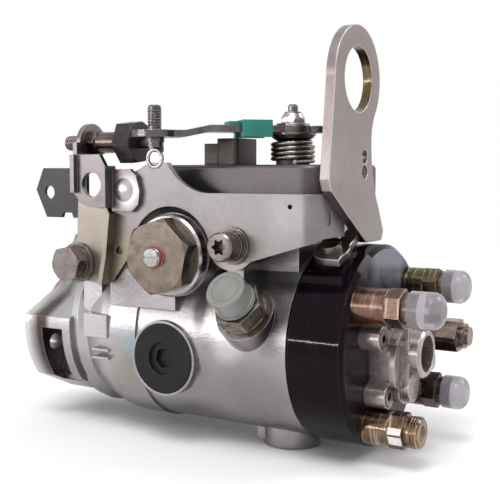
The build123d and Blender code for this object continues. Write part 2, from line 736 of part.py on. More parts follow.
def make_throttle_shaft():
    top = lever_z + lever_thick + shaft_above
    shaft = rod_z(throttle_radius, cover_top - cover_wall - 14, top - 3.6, throttle_x, throttle_y)
    shaft += rod_z(2.4, top - 5, top, throttle_x, throttle_y)
    shaft = chamfer(shaft.faces().sort_by(Axis.Z)[-1].edges(), 0.8)
    arm = block(throttle_x - inner_lever, throttle_x, throttle_y - 3, throttle_y + 3, spring_z - 1.5, spring_z + 1.5)
    shaft += arm
    return shaft


def lever_place():
    # the lever's own axes: x from the shaft towards the stud, z up
    along = Vector(stud_x - throttle_x, stud_y - throttle_y, 0)
    return Plane(origin=(throttle_x, throttle_y, 0), x_dir=along, z_dir=(0, 0, 1)), along.length


def make_throttle_lever():
    place, reach = lever_place()
    top = lever_z + lever_thick
    bend = reach * 0.62
    tip = reach + 12
    side_view = Polyline(
        (-17, lever_z), (bend, lever_z), (bend + 12, lever_z - lever_drop), (tip, lever_z - lever_drop),
        (tip, top - lever_drop), (bend + 12, top - lever_drop), (bend, top), (-17, top), close=True)
    strip = extrude(Plane.XZ * make_face(side_view), 13, both=True)
    plan = Rectangle(reach + 10, 2 * lever_half_width, align=(Align.MIN, Align.CENTER))
    plan = Pos(-6, 0) * plan + Circle(9) + Pos(-10, 0) * Circle(lever_half_width) + Pos(reach, 0) * Circle(10.5)
    lever = place * (strip & extrude(Pos(0, 0, lever_z - 5) * plan, 12))
    lever += block(stop_tab_x, stop_tab_x + 12, stop_y - 6, stop_y + 1, lever_z - lever_drop, top - lever_drop)
    lever += block(stop_tab_x, stop_tab_x + 2.5, stop_y - 5, stop_y + 3, stop_z - 5, lever_z - lever_drop + 1)
    lever -= rod_z(throttle_radius + seat, lever_z - 9, lever_z + 9, throttle_x, throttle_y)
    lever -= rod_z(stud_shoulder + seat, lever_z - 9, lever_z + 9, stud_x, stud_y)
    return lever


def make_lever_clip():
    place, reach = lever_place()
    low = lever_z - clip_under
    high = lever_z + lever_thick
    clip = Pos(19.5, 0, (low + high + 2.4) / 2) * Box(14, 2 * lever_half_width + 6, high + 2.4 - low)
    clip += Pos(28.5, 0, high + 0.9) * Box(7, 2 * lever_half_width - 2, 1.8)
    clip -= Pos(24, 0, lever_z + lever_thick / 2) * Box(34, 2 * lever_half_width + 0.1, lever_thick + 0.1)
    clip -= Pos(24, 0, low) * Box(30, 2 * lever_half_width - 3, 4.0)
    return place * clip


def make_lever_stud():
    base = lever_z - lever_drop
    shoulder_top = base + lever_thick + 0.4
    stud = rod_z(stud_shoulder, base - 0.5, shoulder_top, stud_x, stud_y)
    stud += rod_z(4.4, base - 2.2, base, stud_x, stud_y)
    stud += rod_z(stud_shoulder, base - 4.5, base - 2.2, stud_x, stud_y)
    stud += rod_z(stud_radius, shoulder_top, shoulder_top + stud_reach, stud_x, stud_y)
    stud = chamfer(stud.faces().sort_by(Axis.Z)[-1].edges(), 0.6)
    return stud


def make_hook_spring():
    base = lever_z - lever_drop
    place = Plane(origin=(stud_x, stud_y, base - 4.5 - 0.2 - 4.9), z_dir=(0, 1, 0))
    return place * Torus(4.0, 0.9)


def make_shaft_nut():
    low = lever_z + lever_thick
    nut = Pos(throttle_x, throttle_y, low) * extrude(RegularPolygon(5.5, 6, major_radius=False), 6.0)
    crown = Cone(7.6, 4.6, 6.0, align=(Align.CENTER, Align.CENTER, Align.MIN))
    nut &= Pos(throttle_x, throttle_y, low) * crown
    nut += rod_z(8.0, low, low + 1.2, throttle_x, throttle_y)
    nut -= rod_z(throttle_radius + seat, low - 1, low + 7, throttle_x, throttle_y)
    return nut


def make_spool_washer():
    # a domed spring seat below the lever
    top = lever_z
    outline = Plane.XZ * make_face(Polyline(
        (throttle_radius + seat, top - 6.2), (7.2, top - 6.2), (7.2, top - 4.0), (9.5, top - 2.6),
        (11.0, top - 1.0), (11.0, top), (throttle_radius + seat, top), close=True))
    return Pos(throttle_x, throttle_y, 0) * revolve(outline, Axis.Z)


def make_return_spring():
    # close-wound torsion spring round the shaft's boss, with one leg along the cover
    wire = 1.0
    base = cover_top + wire + 0.65
    return Pos(throttle_x, throttle_y, base) * coil(9.6, wire, 8.8, 4, leg=16)


def make_side_bracket():
    edge = side_plate_y
    outline = make_face([
        Line((34, 28), (62, 28)),
        Line((62, 28), (advance_x - 23, advance_z)),
        ThreePointArc((advance_x - 23, advance_z), (advance_x, advance_z + 23), (advance_x + 23, advance_z)),
        ThreePointArc((advance_x + 23, advance_z), (screw_x - 3, screw_z - 11.5), (screw_x + 9, screw_z - 7)),
        Line((screw_x + 9, screw_z - 7), (eye_x - clear, 51)),
        Line((eye_x - clear, 51), (eye_x - clear, 71.5)),
        Line((eye_x - clear, 71.5), (121, 71.5)),
        ThreePointArc((121, 71.5), (104, 76), (95.5, 85.5)),
        Line((95.5, 85.5), (86, 85.5)),
        Line((86, 85.5), (64, 76)),
        Line((64, 76), (60, 66)),
        Line((60, 66), (34, 44)),
        Line((34, 44), (34, 28)),
    ])
    place = Plane(origin=(0, -edge, 0), x_dir=(1, 0, 0), z_dir=(0, -1, 0))
    plate = extrude(place * outline, sheet)
    # its end is bent inwards, along the lifting eye
    end = eye_x - clear
    plate += block(end - sheet, end, -edge - sheet, -19.5, 52, 71.5)
    bend = 4.0 + sheet
    centre_y = -edge - sheet + bend
    plate += block(end - bend, end - sheet, -edge, centre_y, 52, 71.5) - rod_z(4.0, 50, 72, end - bend, centre_y)
    corner = block(end - bend, end + 1, -edge - sheet - 1, centre_y, 40, 80)
    plate -= corner - rod_z(bend, 39, 81, end - bend, centre_y)
    plate -= rod_x(3.4, end - 0.8, end + 1, -36.2, 61)
    plate -= rod_y(5.3, -edge - sheet - 1, -edge + 1, bolt_x, bolt_z)
    plate -= rod_y(4.3, -edge - sheet - 1, -edge + 1, screw_x, screw_z)
    plate -= rod_y(2.2, -edge - sheet - 1, -edge + 1, 62 + 4, 42.5)
    plate -= rod_y(1.1, -edge - sheet - 1, -edge + 1, 161, 66)
    return plate


def make_lifting_eye():
    left = eye_centre_y - eye_outer
    bottom = head_radius + 1
    across, down = polar(eye_outer, -34.4)
    shoulder = (eye_centre_y + across, eye_centre_z + down)
    outline = make_face([
        Line((left, eye_centre_z), (-45.6, 78)),
        Line((-45.6, 78), (-43.5, 73)),
        Line((-43.5, 73), (-6, bottom)),
        Line((-6, bottom), (12, bottom)),
        Line((12, bottom), (14, 53)),
        Line((14, 53), (8.8, 63)),
        ThreePointArc((8.8, 63), (0.8, 80), (-1, 97)),
        ThreePointArc((-1, 97), (0.2, 103.2), shoulder),
        ThreePointArc(shoulder, (eye_centre_y, eye_centre_z + eye_outer), (left, eye_centre_z)),
    ])
    place = Plane(origin=(eye_x, 0, 0), x_dir=(0, 1, 0), z_dir=(1, 0, 0))
    plate = extrude(place * outline, eye_thick)
    face = eye_x + eye_thick
    plate -= rod_x(eye_hole, eye_x - 1, face + 1, eye_centre_y, eye_centre_z)
    plate -= rod_x(eye_small_hole, eye_x - 1, face + 1, eye_small_y, eye_small_z)
    plate -= rod_x(eye_small_hole, face - 1.5, face + 1, eye_small_y, eye_small_z - 7)
    # foot bent over the shoulder of the hydraulic head
    low = head_radius + 0.5
    foot = block(foot_tab_x, eye_x + 2, -8.5, 21, low, low + 3.5)
    foot += rod_z(8.5, low, low + 3.5, foot_tab_x)
    foot -= rod_z(2.8, low - 1, low + 5, foot_tab_x)
    return plate + Rot(foot_tilt, 0, 0) * foot


def make_eye_screw():
    seat_height = head_radius + 4.0
    screw = rod_z(2.45, head_radius - 10, seat_height, foot_tab_x)
    screw += rod_z(5.0, seat_height, seat_height + 3.6, foot_tab_x)
    screw -= block(foot_tab_x - 6, foot_tab_x + 6, -0.7, 0.7, seat_height + 2.2, seat_height + 5)
    return Rot(foot_tilt, 0, 0) * screw


def make_cable_bracket():
    inner = side_plate_y + sheet
    outline = ((41, 28), (57, 26), (60, 40), (62.6, 61), (61.5, 63), (61.5, 67), (43, 67))
    plate = plate_front(outline, inner, inner + sheet)
    plate += rod_y(9.5, -inner - sheet, -inner, bolt_x, bolt_z)
    # its right edge is folded outwards
    plate += plate_front(((57, 26), (59.6, 26), (62.6, 40), (65.2, 61), (62.6, 61), (60, 40)), inner, inner + sheet + 3)
    plate -= rod_y(5.3, -inner - sheet - 1, -inner + 1, bolt_x, bolt_z)
    return plate


def make_cable_plate():
    outer = side_plate_y + sheet
    outline = ((17, 83), (12, 72), (19, 58), (29, 58), (30, 60.5), (36, 60.5), (37, 58), (46, 58), (46, 83))
    plate = plate_front(outline, outer - 2.0, outer)
    plate -= rod_y(3.4, -outer - 1, -outer + 3, 21, 70.7)
    return plate


def make_stop_bracket():
    # joggled sheet bracket that carries the stop screw and a cable hole
    inner = side_plate_y + sheet
    outer = inner + 5.5
    thick = 2.5
    left = stop_lug_x
    tab = plate_front(((64, 62), (76, 62), (80, 65.5), (81, 72), (79, 79), (75, 82.5), (64, 82.5)), inner, inner + thick)
    dome_place = Plane(origin=(71.5, -inner - thick, 72.5), x_dir=(1, 0, 0), z_dir=(0, -1, 0))
    dome = dome_place * (Pos(0, 0, -9.4) * Sphere(11.0))
    tab += dome & block(60, 84, -inner - 6, -inner - 2, 55, 90)
    wall = block(62, 64.5, -outer - thick, -inner, 64, 84)
    lobe = plate_front(((left, 71), (49, 66), (54, 64), (64.5, 64), (64.5, 84), (61, 89.5), (left, 89.5)), outer, outer + thick)
    lip = block(left, left + thick, -outer - 5, -outer, 71, 89.5)
    flange = block(left, left + thick, -outer - thick, stop_y + 7, 84, stop_z)
    lug = rod_x(9.5, left, left + thick, stop_y, stop_z)
    bracket = tab + wall + lobe + lip + flange + lug
    bracket -= rod_y(6.0, -outer - 4, -outer + 1, 55.9, 75)
    bracket -= rod_x(3.6, left - 1, left + thick + 1, stop_y, stop_z)
    return bracket


def make_bracket_bolt():
    seat_y = side_plate_y + 2 * sheet + 4.0
    bolt = rod_y(4.9, -seat_y - 1, -side_plate_y + 18, bolt_x, bolt_z)
    head = hexagon_front(16.0, seat_y, seat_y + 6.6, bolt_x, bolt_z, 12)
    crown_place = Plane(origin=(bolt_x, -seat_y, bolt_z), x_dir=(1, 0, 0), z_dir=(0, -1, 0))
    crown = Cone(15.0, 8.0, 6.8, align=(Align.CENTER, Align.CENTER, Align.MIN))
    return bolt + (head & (crown_place * crown))


def washer(bore, outer, low, high, x, z):
    return rod_y(outer, -high, -low, x, z) - rod_y(bore, -high - 1, -low + 1, x, z)


def make_washers():
    plates = side_plate_y + 2 * sheet
    plain = washer(5.1, 10.0, plates, plates + 1.8, bolt_x, bolt_z)
    spring = washer(5.1, 8.8, plates + 1.8, plates + 4.0, bolt_x, bolt_z)
    spring -= Pos(bolt_x, -plates - 3, bolt_z + 8) * Rot(0, 25, 0) * Box(1.2, 4, 6)
    face = side_plate_y + sheet
    wide = washer(4.1, 8.5, face, face + 1.6, screw_x, screw_z)
    spacer = washer(4.1, 7.0, face + 1.6, face + 4.2, screw_x, screw_z)
    return Compound(children=[plain, spring, wide, spacer])


def make_cap_screw():
    face = side_plate_y + sheet + 4.2
    screw = rod_y(3.9, -face, -side_plate_y + 12, screw_x, screw_z)
    head = rod_y(6.6, -face - 8, -face, screw_x, screw_z)
    head = chamfer(head.faces().sort_by(Axis.Y)[0].edges(), 0.8)
    socket = Circle(2.7)
    for turn in range(6):
        y, z = polar(2.9, 60 * turn)
        socket += Pos(y, z) * Circle(0.8)
    place = Plane(origin=(screw_x, -face - 8.1, screw_z), x_dir=(1, 0, 0), z_dir=(0, 1, 0))
    return screw + head - extrude(place * socket, 4.5)


def make_stop_screw():
    screw = rod_x(3.5, 31, 68, stop_y, stop_z)
    screw += rod_x(3.0, 67, stop_tab_x - clear, stop_y, stop_z)
    screw = chamfer(screw.faces().sort_by(Axis.X)[0].edges(), 0.6)
    return screw


def make_stop_collar():
    # a small nut against the bracket's lug, with a spacer tube up to the locknut
    low = stop_lug_x + 2.5 + 0.05
    collar = hexagon_x(11.0, low, low + 5, stop_y, stop_z)
    collar += rod_x(5.2, low + 5, 67.5, stop_y, stop_z)
    collar -= rod_x(3.5 + seat, 40, 72, stop_y, stop_z)
    return collar


def make_stop_locknut():
    nut = hexagon_x(19.0, 67.6, 77.0, stop_y, stop_z, 8)
    cone = Cone(16.0, 9.6, 9.6, align=(Align.CENTER, Align.CENTER, Align.MIN))
    place = Plane(origin=(67.5, stop_y, stop_z), x_dir=(0, 1, 0), z_dir=(1, 0, 0))
    nut &= place * cone
    nut -= rod_x(3.5 + seat, 60, 68.2, stop_y, stop_z)
    nut -= rod_x(3.0 + seat, 60, 80, stop_y, stop_z)
    return nut


def make_rotor():
    # distributor rotor: pumping head inside the cam ring, stem inside the hydraulic head
    head_low = cam_x - 0.8
    head_high = cam_x + cam_width
    rotor = rod_x(14.0, head_low, head_high)
    rotor += rod_x(rotor_radius, head_high, head_end - pump_depth)
    rotor -= block(head_low - 1, cam_x + 1.6, -2.5, 2.5, -6.4, 6.4)
    slot = block(advance_x - 5.2, advance_x + 5.2, 9.5, 15, -4.2, 4.2)
    for turn in (0, 180):
        rotor -= Rot(45 + turn, 0, 0) * slot
    bore = rod_y(plunger_radius + running, -16, 16, advance_x, 0)
    rotor -= Rot(45, 0, 0) * bore
    return rotor


def at_rollers(shape):
    # the two pumping elements lie opposite each other, at 45 degrees between the cam lobes
    return Compound(children=[Rot(45, 0, 0) * shape, Rot(225, 0, 0) * shape])


def make_plungers():
    return at_rollers(rod_y(plunger_radius, 1.0, 11.6, advance_x, 0))


def make_roller_shoes():
    shoe = block(advance_x - 5, advance_x + 5, 11.7, 18, -4, 4)
    shoe -= rod_x(roller_radius + running, advance_x - 6, advance_x + 6, 17.8, 0)
    return at_rollers(shoe)


def make_rollers():
    return at_rollers(rod_x(roller_radius, advance_x - 5, advance_x + 5, 17.8, 0))


def make_regulating_piston():
    low = head_end + 3.0
    piston = rod_x(valve_radius, low, low + 5.8)
    piston -= rod_x(valve_radius - 1.5, low + 2.5, low + 7)
    return piston


nodes = {
    "housing": make_housing(),
    "hydraulic_head": make_hydraulic_head(),
    "outlet_caps": make_outlet_caps(),
    "end_plate": make_end_plate(),
    "end_plug": make_end_plug(),
    "case_screws": make_case_screws(),
    "transfer_liner": make_transfer_liner(),
    "transfer_rotor": make_transfer_rotor(),
    "regulating_piston": make_regulating_piston(),
    "timing_plug": make_timing_plug(),
    "leak_off_union": make_leak_off_union(),
    "leak_off_cap": make_leak_off_cap(),
    "advance_collar": make_advance_collar(),
    "advance_cap": make_advance_cap(),
    "advance_adjuster": make_advance_adjuster(),
    "advance_piston": make_advance_piston(),
    "advance_spring": make_advance_spring(),
    "cam_ring": make_cam_ring(),
    "rotor": make_rotor(),
    "plungers": make_plungers(),
    "roller_shoes": make_roller_shoes(),
    "rollers": make_rollers(),
    "drive_shaft": make_drive_shaft(),
    "drive_seal": make_drive_seal(),
    "weight_cage": make_weight_cage(),
    "thrust_sleeve": make_thrust_sleeve(),
    "governor_arm": make_governor_arm(),
    "governor_link": make_governor_link(),
    "governor_spring": make_governor_spring(),
    "control_bracket": make_control_bracket(),
    "metering_valve": make_metering_valve(),
    "governor_cover": make_governor_cover(),
    "cover_block": make_cover_block(),
    "throttle_shaft": make_throttle_shaft(),
    "throttle_lever": make_throttle_lever(),
    "lever_clip": make_lever_clip(),
    "lever_stud": make_lever_stud(),
    "hook_spring": make_hook_spring(),
    "shaft_nut": make_shaft_nut(),
    "spool_washer": make_spool_washer(),
    "return_spring": make_return_spring(),
    "side_bracket": make_side_bracket(),
    "lifting_eye": make_lifting_eye(),
    "cable_bracket": make_cable_bracket(),
    "cable_plate": make_cable_plate(),
    "stop_bracket": make_stop_bracket(),
    "bracket_bolt": make_bracket_bolt(),
    "washers": make_washers(),
    "cap_screw": make_cap_screw(),
    "stop_screw": make_stop_screw(),
    "stop_collar": make_stop_collar(),
    "stop_locknut": make_stop_locknut(),
}
for index, angle in enumerate(outlet_angles):
    nodes[f"outlet_{index + 1}"] = make_outlet(angle, outlet_longer[index])
for turn in range(4):
    nodes[f"weight_{turn + 1}"] = make_weight(turn)

os.makedirs("parts", exist_ok=True)
for name, shape in nodes.items():
    export_step(shape, f"parts/{name}.step")
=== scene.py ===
import bpy
import bmesh
import math
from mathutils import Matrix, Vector


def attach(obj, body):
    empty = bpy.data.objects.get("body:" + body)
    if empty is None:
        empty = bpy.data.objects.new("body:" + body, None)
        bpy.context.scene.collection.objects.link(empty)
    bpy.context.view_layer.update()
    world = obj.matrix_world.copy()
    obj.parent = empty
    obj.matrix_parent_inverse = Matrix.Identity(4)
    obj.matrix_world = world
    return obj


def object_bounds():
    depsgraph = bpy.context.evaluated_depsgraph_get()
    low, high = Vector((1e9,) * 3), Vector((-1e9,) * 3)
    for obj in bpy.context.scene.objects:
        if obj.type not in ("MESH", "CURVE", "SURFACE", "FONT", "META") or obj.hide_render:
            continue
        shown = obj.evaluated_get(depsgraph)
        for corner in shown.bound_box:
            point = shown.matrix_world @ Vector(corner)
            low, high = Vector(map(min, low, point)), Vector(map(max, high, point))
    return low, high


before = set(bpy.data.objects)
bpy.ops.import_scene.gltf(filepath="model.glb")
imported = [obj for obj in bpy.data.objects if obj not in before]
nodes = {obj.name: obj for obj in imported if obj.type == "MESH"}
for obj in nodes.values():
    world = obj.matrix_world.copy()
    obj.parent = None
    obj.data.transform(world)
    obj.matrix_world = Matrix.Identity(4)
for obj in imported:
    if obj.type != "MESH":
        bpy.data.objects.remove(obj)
cadBox = [list(corner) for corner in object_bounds()]
print("frame loaded:", len(nodes), "nodes")

cameraSettings = {
    "place": (0.3469, -0.3909, 0.082),
    "azimuth": 31.0,     # degrees, turned from +Y towards -X
    "tiltDown": 4.57,
    "focalLength": 64.8,
    "sensorWidth": 36.0,
}


def makeCamera(s):
    data = bpy.data.cameras.new("pumpCamera")
    data.lens = s["focalLength"]
    data.sensor_width = s["sensorWidth"]
    data.clip_end = 20.0
    camera = bpy.data.objects.new("pumpCamera", data)
    bpy.context.scene.collection.objects.link(camera)
    camera.location = s["place"]
    camera.rotation_euler = (math.radians(90 - s["tiltDown"]), 0, math.radians(s["azimuth"]))
    bpy.context.scene.camera = camera


makeCamera(cameraSettings)
print("camera placed")


def hexToLinear(code):
    parts = []
    for start in (0, 2, 4):
        value = int(code[start:start + 2], 16) / 255
        parts.append(value / 12.92 if value <= 0.04045 else ((value + 0.055) / 1.055) ** 2.4)
    return (*parts, 1.0)


def addNode(tree, kind, settings=None, links=None):
    # a setting is a property of the node, or the value of one of its inputs
    node = tree.nodes.new(kind)
    for name, value in (settings or {}).items():
        if isinstance(name, str) and hasattr(node, name):
            setattr(node, name, value)
        else:
            node.inputs[name].default_value = value
    for name, source in (links or {}).items():
        tree.links.new(source, node.inputs[name])
    return node


def newMaterial(name):
    material = bpy.data.materials.new(name)
    material.use_nodes = True
    tree = material.node_tree
    tree.nodes.clear()
    shader = addNode(tree, "ShaderNodeBsdfPrincipled")
    addNode(tree, "ShaderNodeOutputMaterial", {}, {"Surface": shader.outputs[0]})
    return material, tree, shader


def span(fromLow, fromHigh, toLow, toHigh):
    # settings of a node that maps one range to another
    return {"From Min": fromLow, "From Max": fromHigh, "To Min": toLow, "To Max": toHigh}


maskSettings = {
    "samples": 4,
    "edgeBend": (0.995, 0.85),      # agreement of rounded and plain normal where wear starts, and on the edge
    "cornerLight": (0.75, 0.25),    # open share of the sky where dirt and painted shade start, and deep in a corner
}


def edgesAndCorners(tree, edgeSize, cornerReach):
    # two masks from the shape itself, 1 on outer edges and 1 deep in corners, and the rounded normal
    s = maskSettings
    rounded = addNode(tree, "ShaderNodeBevel", {"samples": s["samples"], "Radius": edgeSize / 1000})
    geometry = addNode(tree, "ShaderNodeNewGeometry")
    facing = addNode(tree, "ShaderNodeVectorMath", {"operation": "DOT_PRODUCT"},
                     {0: rounded.outputs[0], 1: geometry.outputs["Normal"]})
    bent = addNode(tree, "ShaderNodeMapRange", span(*s["edgeBend"], 0, 1), {"Value": facing.outputs["Value"]})
    hollow = addNode(tree, "ShaderNodeAmbientOcclusion",
                     {"samples": s["samples"], "Distance": cornerReach / 1000})
    corner = addNode(tree, "ShaderNodeMapRange", span(*s["cornerLight"], 0, 1),
                     {"Value": hollow.outputs["AO"]})
    edge = addNode(tree, "ShaderNodeMath", {"operation": "MULTIPLY"},
                   {0: bent.outputs[0], 1: hollow.outputs["AO"]})
    return edge.outputs[0], corner.outputs[0], rounded.outputs[0]


# what the finishes below leave out; lengths are in millimetres, and grain and scratches are coarser than real
# ones, so that they show
usualFinish = {
    "edgeSize": 0.4,        # width of the worn edge
    "edgeShare": 0.5,       # strength of the wear
    "cornerReach": 4.0,     # how far from a wall its corner's dirt and painted shade reach
    "lie": (0.04, 1, 1),    # scratches run along the axis with the small number
    "lineWidth": 0.5,
    "scratchShare": 0.35,
    "cut": 0.01,            # depth of the scratches
    "dirtSize": 3.0,
    "dirtStart": -0.45,     # nearer 0 lets dirt spread out of the corners
    "dirtAndShadeShare": 0.7,
    "metallic": 1.0,
    "shine": 0.5,
    "stainsAndPaintedLight": (),           # centre, half sizes, colour and strength of each spot: stains, painted shadows and painted highlights
    "patches": (0.3, 0.7),          # part of the noise that the blotches use
    "scratches": (0.56, 0.72),      # the same for the scratches
    "spotRim": 0.59,       # where a spot has faded out, and how much the blotches fray it
    "spotFray": 0.83,
    "dirtSpread": 0.8,      # how much the dirt comes and goes
    "scratchDull": 0.15,    # added to the roughness by scratches, and by dirt
    "dirtDull": 0.35,
}


def metalFinish(name, own):
    # soft blotches of tone, spots of stain and of painted shadow and highlight, fine scratches, a grain that
    # catches the light, corners darkened by dirt and painted shade, brighter edges
    s = {**usualFinish, **own}
    material, tree, shader = newMaterial(name)
    here = addNode(tree, "ShaderNodeTexCoord").outputs["Object"]
    edge, corner, rounded = edgesAndCorners(tree, s["edgeSize"], s["cornerReach"])
    blotches = addNode(tree, "ShaderNodeTexNoise", {"Scale": 1000 / s["blotch"], "Detail": 5.0},
                       {"Vector": here})
    patches = addNode(tree, "ShaderNodeMapRange", span(*s["patches"], 0, 1),
                      {"Value": blotches.outputs["Fac"]})
    tone = addNode(tree, "ShaderNodeMix",
                   {"data_type": "RGBA", 6: hexToLinear(s["dark"]), 7: hexToLinear(s["light"])},
                   {0: patches.outputs[0]})
    stainedAndPaintedLight = tone.outputs[2]
    # spots of stain, and spots of painted shadow and painted highlight
    for place, reach, tint, share in s["stainsAndPaintedLight"]:
        scaled = addNode(tree, "ShaderNodeVectorMath",
                         {"operation": "MULTIPLY", 1: [1000 / r for r in reach]}, {0: here})
        away = addNode(tree, "ShaderNodeVectorMath",
                       {"operation": "DISTANCE", 1: [v / r for v, r in zip(place, reach)]},
                       {0: scaled.outputs[0]})
        ragged = addNode(tree, "ShaderNodeMath", {"operation": "MULTIPLY_ADD", 1: -s["spotFray"]},
                         {0: blotches.outputs["Fac"], 2: away.outputs["Value"]})
        within = addNode(tree, "ShaderNodeMapRange", span(s["spotRim"], 0, 0, share),
                         {"Value": ragged.outputs[0]})
        stainedAndPaintedLight = addNode(tree, "ShaderNodeMix", {"data_type": "RGBA", 7: hexToLinear(tint)},
                          {0: within.outputs[0], 6: stainedAndPaintedLight}).outputs[2]
    lie = addNode(tree, "ShaderNodeVectorMath", {"operation": "MULTIPLY", 1: s["lie"]}, {0: here})
    lines = addNode(tree, "ShaderNodeTexNoise", {"Scale": 1000 / s["lineWidth"], "Detail": 2.0},
                    {"Vector": lie.outputs[0]})
    scratches = addNode(tree, "ShaderNodeMapRange", span(*s["scratches"], 0, s["scratchShare"]),
                        {"Value": lines.outputs["Fac"]})
    scratched = addNode(tree, "ShaderNodeMix", {"data_type": "RGBA", 7: hexToLinear(s["edge"])},
                        {0: scratches.outputs[0], 6: stainedAndPaintedLight})
    dirtPatches = addNode(tree, "ShaderNodeTexNoise", {"Scale": 1000 / s["dirtSize"], "Detail": 4.0},
                          {"Vector": here})
    dirtAmount = addNode(tree, "ShaderNodeMath",
                         {"operation": "MULTIPLY_ADD", 1: s["dirtSpread"], 2: s["dirtStart"]},
                         {0: dirtPatches.outputs["Fac"]})
    # dirt in patches, and darkening in the corners from ambient occlusion, which is painted shade as well as
    # dirt
    dirtAndShadeMask = addNode(tree, "ShaderNodeMath", {"operation": "ADD", "use_clamp": True},
                       {0: corner, 1: dirtAmount.outputs[0]})
    dirtAndShadeShare = addNode(tree, "ShaderNodeMath", {"operation": "MULTIPLY", 1: s["dirtAndShadeShare"]},
                        {0: dirtAndShadeMask.outputs[0]})
    dirtiedAndShaded = addNode(tree, "ShaderNodeMix", {"data_type": "RGBA", 7: hexToLinear(s["dirtAndShade"])},
                    {0: dirtAndShadeShare.outputs[0], 6: scratched.outputs[2]})
    worn = addNode(tree, "ShaderNodeMath", {"operation": "MULTIPLY", 1: s["edgeShare"]}, {0: edge})
    colour = addNode(tree, "ShaderNodeMix", {"data_type": "RGBA", 7: hexToLinear(s["edge"])},
                     {0: worn.outputs[0], 6: dirtiedAndShaded.outputs[2]})
    roughness = addNode(tree, "ShaderNodeMapRange", span(*s["patches"], *s["rough"]),
                        {"Value": blotches.outputs["Fac"]})
    scuffed = addNode(tree, "ShaderNodeMath", {"operation": "MULTIPLY_ADD", 1: s["scratchDull"]},
                      {0: scratches.outputs[0], 2: roughness.outputs[0]})
    dull = addNode(tree, "ShaderNodeMath", {"operation": "MULTIPLY_ADD", 1: s["dirtDull"]},
                   {0: dirtAndShadeShare.outputs[0], 2: scuffed.outputs[0]})
    grain = addNode(tree, "ShaderNodeTexNoise", {"Scale": 1000 / s["grain"], "Detail": 3.0}, {"Vector": here})
    relief = addNode(tree, "ShaderNodeBump", {"Strength": 1.0, "Distance": s["relief"] / 1000},
                     {"Height": grain.outputs["Fac"], "Normal": rounded})
    cut = addNode(tree, "ShaderNodeBump", {"Strength": 1.0, "Distance": s["cut"] / 1000},
                  {"Height": lines.outputs["Fac"], "Normal": relief.outputs[0]})
    tree.links.new(colour.outputs[2], shader.inputs["Base Color"])
    tree.links.new(dull.outputs[0], shader.inputs["Roughness"])
    tree.links.new(cut.outputs[0], shader.inputs["Normal"])
    shader.inputs["Metallic"].default_value = s["metallic"]
    shader.inputs["Specular IOR Level"].default_value = s["shine"]
    return material


# gravity cast aluminium, shot blasted and then oiled in service: warm satin grey with a fine pebble grain
castAluminium = metalFinish("castAluminium", {
    "light": "9f9b9c", "dark": "8b8788", "dirtAndShade": "50484a", "edge": "d2ced0", "blotch": 34.0,
    "rough": (0.24, 0.36), "grain": 1.3, "relief": 0.11, "cornerReach": 7.0, "dirtAndShadeShare": 0.6,
    "dirtSize": 9.0, "scratchShare": 0.04, "lineWidth": 0.7, "cut": 0.008,
    "stainsAndPaintedLight": [
        ((70, -45, -2), (9, 14, 10), "93a2ab", 0.7),        # bluish and yellowish film beside the timing plug
        ((65, -43, -16), (10, 14, 20), "9d9a89", 0.6),
        ((150, -38, 26), (20, 20, 20), "4c474b", 0.75),     # painted shadow under the side bracket and beside the union
        ((149, -44, 12), (10, 14, 16), "443f42", 0.85),
        # painted shade in the dark recess above the timing plug
        ((111, -43, 16), (5, 14, 13), "4a4649", 0.8),
        # painted shade on the lower barrel near the head
        ((140, -40, -22), (24, 24, 24), "807b7e", 0.6),
        ((120, -44, 16), (7, 12, 12), "c9c6c8", 0.6),       # painted highlights: a bright band and a sheen beside the timing plug, and a lighter left end of the barrel
        ((127, -47, 2), (11, 11, 11), "c4c1c4", 0.6),
        ((40, -36, 0), (34, 34, 34), "bdbbbd", 0.7),
        ((11.5, -50, 0), (6, 40, 90), "4a3f3c", 1.0),       # rough cast skin behind the flange's machined face, darkened further as painted shade
        # the flange's bright machined face, partly a painted highlight
        ((0, -50, 0), (6, 40, 60), "d4d1d1", 0.9),
    ],
})

# the same alloy, darkened as painted shade on the cover's shaded side: brown-grey, matt
shadedCoverCasting = metalFinish("shadedCastAluminium", {
    "light": "656061", "dark": "595455", "dirtAndShade": "453f40", "edge": "aaa5a6", "blotch": 26.0,
    "rough": (0.38, 0.5), "grain": 0.9, "relief": 0.05, "cornerReach": 6.0, "dirtAndShadeShare": 0.6,
    "scratchShare": 0.1,
})

# steel with baked black enamel: almost black with a purple cast, glossy, with faint turning marks
blackEnamel = metalFinish("blackEnamelOnSteel", {
    "light": "0e050c", "dark": "080308", "dirtAndShade": "171213", "edge": "4a444e", "blotch": 14.0,
    "rough": (0.04, 0.08), "grain": 1.6, "relief": 0.012, "metallic": 0.0, "shine": 0.1,
    "scratchShare": 0.05, "lie": (1, 0.05, 0.05), "dirtAndShadeShare": 0.4,
})

# the enamel of the head's end face: the same black, a little lighter and duller, with a painted blue-grey
# reflection of the sky on its upper part
enamelEnd = metalFinish("blackEnamelEndFace", {
    "light": "120f14", "dark": "0b090d", "dirtAndShade": "1d1819", "edge": "6a6670", "blotch": 14.0,
    "rough": (0.16, 0.26), "grain": 1.6, "relief": 0.012, "metallic": 0.0, "shine": 0.13,
    "scratchShare": 0.05, "lie": (1, 0.3, 0.3),
    "stainsAndPaintedLight": [
        # painted reflection of the sky on the end face's upper part
        ((186, 8, 46), (20, 40, 22), "74767f", 0.95),
    ],
})

